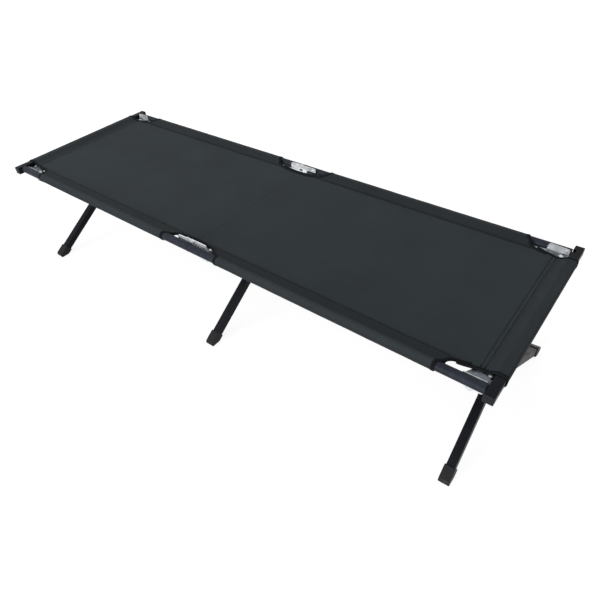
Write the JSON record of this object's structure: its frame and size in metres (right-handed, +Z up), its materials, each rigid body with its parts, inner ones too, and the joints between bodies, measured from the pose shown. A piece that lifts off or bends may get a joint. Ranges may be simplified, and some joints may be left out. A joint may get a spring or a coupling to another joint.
{
  "type": "camping cot",
  "caption": "Folding camping cot with split side rails, crossed leg pairs, removable end bars and a stretched fabric bed.",
  "frame": {"origin": "on the floor under the middle of the cot", "axes": "+X along the bed to the foot end, +Y across it, +Z up"},
  "size_m": [1.903, 0.626, 0.429],
  "materials": {
    "rail_paint": "satin dark grey powder coat",
    "leg_paint": "satin near-black powder coat",
    "bright_steel": "zinc plated sheet",
    "black_plastic": "matte",
    "fabric": "fine open weave, charcoal"
  },
  "bodies": {
    "foot_near_rail": {"rail_foot_near": "rail_paint", "rail_plug_foot_near": "black_plastic", "end_bracket_foot_near": "bright_steel", "side_sleeve_foot_near": "fabric", "hinge_bracket_near": "bright_steel", "hinge_pin_near": "bright_steel", "leg_pin_a_mid": "bright_steel", "bed_panel_foot": "fabric", "end_sleeve_foot": "fabric"},
    "head_near_rail": {"rail_head_near": "rail_paint", "rail_plug_head_near": "black_plastic", "end_bracket_head_near": "bright_steel", "side_sleeve_head_near": "fabric", "hinge_leaf_near": "bright_steel", "bed_panel_head": "fabric", "end_sleeve_head": "fabric"},
    "foot_far_rail": {"rail_foot_far": "rail_paint", "rail_plug_foot_far": "black_plastic", "end_bracket_foot_far": "bright_steel", "side_sleeve_foot_far": "fabric", "hinge_bracket_far": "bright_steel", "hinge_pin_far": "bright_steel", "leg_pin_b_mid": "bright_steel"},
    "head_far_rail": {"rail_head_far": "rail_paint", "rail_plug_head_far": "black_plastic", "end_bracket_head_far": "bright_steel", "side_sleeve_head_far": "fabric", "hinge_leaf_far": "bright_steel"},
    "leg_a_mid": {"leg_a_mid": "leg_paint", "foot_cap_a_mid": "black_plastic", "cross_pin_mid": "bright_steel"},
    "leg_b_mid": {"leg_b_mid": "leg_paint", "foot_cap_b_mid": "black_plastic"},
    "leg_a_foot": {"leg_a_foot": "leg_paint", "foot_cap_a_foot": "black_plastic", "cross_pin_foot": "bright_steel"},
    "leg_b_foot": {"leg_b_foot": "leg_paint", "foot_cap_b_foot": "black_plastic"},
    "leg_a_head": {"leg_a_head": "leg_paint", "foot_cap_a_head": "black_plastic", "cross_pin_head": "bright_steel"},
    "leg_b_head": {"leg_b_head": "leg_paint", "foot_cap_b_head": "black_plastic"},
    "swivel_foot_near": {"swivel_foot_near": "bright_steel", "leg_pin_a_foot": "bright_steel"},
    "swivel_foot_far": {"swivel_foot_far": "bright_steel", "leg_pin_b_foot": "bright_steel"},
    "end_bar_foot": {"end_bar_foot": "leg_paint", "bar_cap_foot_near": "black_plastic", "bar_cap_foot_far": "black_plastic"},
    "swivel_head_near": {"swivel_head_near": "bright_steel", "leg_pin_a_head": "bright_steel"},
    "swivel_head_far": {"swivel_head_far": "bright_steel", "leg_pin_b_head": "bright_steel"},
    "end_bar_head": {"end_bar_head": "leg_paint", "bar_cap_head_near": "black_plastic", "bar_cap_head_far": "black_plastic"}
  },
  "joints": [
    {"name": "scissor", "type": "hinge", "parent": "foot_near_rail", "child": "leg_a_mid", "pos_m": [0.035, -0.2545, 0.372], "axis": [-1, 0, 0], "range_deg": [0, 48], "deforming": ["bed_panel_foot", "bed_panel_head", "end_sleeve_foot", "end_sleeve_head"]},
    {"name": "cross_mid", "type": "hinge", "parent": "leg_a_mid", "child": "leg_b_mid", "pos_m": [0.0205, 0, 0.20126], "axis": [1, 0, 0], "range_deg": [0, 96]},
    {"name": "far_rails_close", "type": "hinge", "parent": "leg_b_mid", "child": "foot_far_rail", "pos_m": [0.006, 0.2545, 0.372], "axis": [-1, 0, 0], "range_deg": [0, 48]},
    {"name": "fold_near", "type": "hinge", "parent": "foot_near_rail", "child": "head_near_rail", "pos_m": [0, -0.2875, 0.4225], "axis": [0, 1, 0], "range_deg": [0, 175]},
    {"name": "fold_far", "type": "hinge", "parent": "foot_far_rail", "child": "head_far_rail", "pos_m": [0, 0.2875, 0.4225], "axis": [0, 1, 0], "range_deg": [0, 175]},
    {"name": "swing_foot_near", "type": "hinge", "parent": "foot_near_rail", "child": "swivel_foot_near", "pos_m": [0.8845, -0.27, 0.372], "axis": [0, 1, 0], "range_deg": [0, 80]},
    {"name": "swing_foot_far", "type": "hinge", "parent": "foot_far_rail", "child": "swivel_foot_far", "pos_m": [0.8845, 0.27, 0.372], "axis": [0, 1, 0], "range_deg": [0, 80]},
    {"name": "leg_a_foot_turn", "type": "hinge", "parent": "swivel_foot_near", "child": "leg_a_foot", "pos_m": [0.89898, -0.2545, 0.37278], "axis": [-0.9986, 0, -0.0537], "range_deg": [0, 48]},
    {"name": "cross_foot", "type": "hinge", "parent": "leg_a_foot", "child": "leg_b_foot", "pos_m": [0.89367, 0, 0.20151], "axis": [0.9986, 0, 0.0537], "range_deg": [0, 96]},
    {"name": "end_bar_foot_drop", "type": "hinge", "parent": "foot_near_rail", "child": "end_bar_foot", "pos_m": [0.928, -0.2875, 0.4075], "axis": [-0.9986, 0, -0.0537], "range_deg": [0, 86.4]},
    {"name": "swing_head_near", "type": "hinge", "parent": "head_near_rail", "child": "swivel_head_near", "pos_m": [-0.8845, -0.27, 0.372], "axis": [0, -1, 0], "range_deg": [0, 80]},
    {"name": "swing_head_far", "type": "hinge", "parent": "head_far_rail", "child": "swivel_head_far", "pos_m": [-0.8845, 0.27, 0.372], "axis": [0, -1, 0], "range_deg": [0, 80]},
    {"name": "leg_a_head_turn", "type": "hinge", "parent": "swivel_head_near", "child": "leg_a_head", "pos_m": [-0.87002, -0.2545, 0.37122], "axis": [-0.9986, 0, 0.0537], "range_deg": [0, 48]},
    {"name": "cross_head", "type": "hinge", "parent": "leg_a_head", "child": "leg_b_head", "pos_m": [-0.89367, 0, 0.20151], "axis": [0.9986, 0, -0.0537], "range_deg": [0, 96]},
    {"name": "end_bar_head_drop", "type": "hinge", "parent": "head_near_rail", "child": "end_bar_head", "pos_m": [-0.928, -0.2875, 0.4075], "axis": [-0.9986, 0, 0.0537], "range_deg": [0, 86.4]}
  ],
  "couplings": [
    {"joint": "cross_mid", "follows": "scissor", "ratio": 2},
    {"joint": "far_rails_close", "follows": "scissor", "ratio": 1},
    {"joint": "fold_far", "follows": "fold_near", "ratio": 1},
    {"joint": "swing_foot_far", "follows": "swing_foot_near", "ratio": 1},
    {"joint": "leg_a_foot_turn", "follows": "scissor", "ratio": 1},
    {"joint": "cross_foot", "follows": "scissor", "ratio": 2},
    {"joint": "end_bar_foot_drop", "follows": "scissor", "ratio": 1.8},
    {"joint": "swing_head_far", "follows": "swing_head_near", "ratio": 1},
    {"joint": "leg_a_head_turn", "follows": "scissor", "ratio": 1},
    {"joint": "cross_head", "follows": "scissor", "ratio": 2},
    {"joint": "end_bar_head_drop", "follows": "scissor", "ratio": 1.8}
  ]
}
